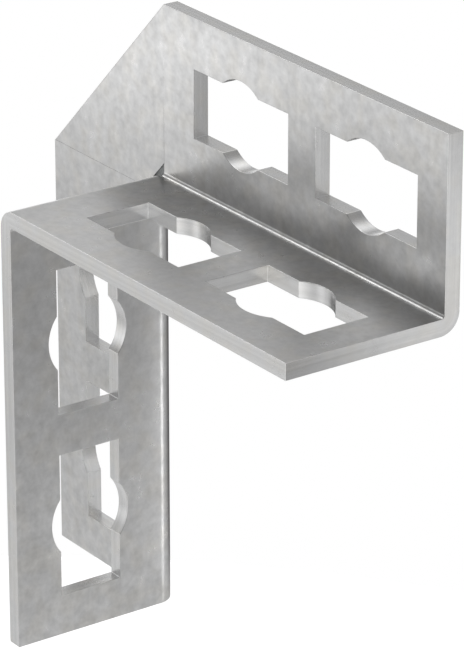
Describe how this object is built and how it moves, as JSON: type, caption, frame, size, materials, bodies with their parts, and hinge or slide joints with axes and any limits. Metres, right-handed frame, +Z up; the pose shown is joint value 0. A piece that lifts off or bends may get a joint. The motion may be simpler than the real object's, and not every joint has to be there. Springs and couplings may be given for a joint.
{
  "type": "three-way angle bracket",
  "caption": "Folded and slotted steel corner bracket that joins an upright and a horizontal framing channel, with a triangular gusset welded flush across the corner at the back.",
  "frame": {"origin": "the corner where the three seating planes meet: the top of the shelf, the front of the upright and the rear flange, and the outer face of the leg; it lies on the front of the gusset", "axes": "+X along the shelf, away from the corner; +Y to the back, through the upright; +Z up, with the leg hanging down"},
  "size_m": [0.1515, 0.0455, 0.1515],
  "materials": {
    "galvanised_steel": "hot-dip zinc coating: matt, cloudy light grey, with small bright edges"
  },
  "bodies": {
    "root": {"folded_bracket": "galvanised_steel", "corner_gusset": "galvanised_steel"}
  },
  "joints": []
}
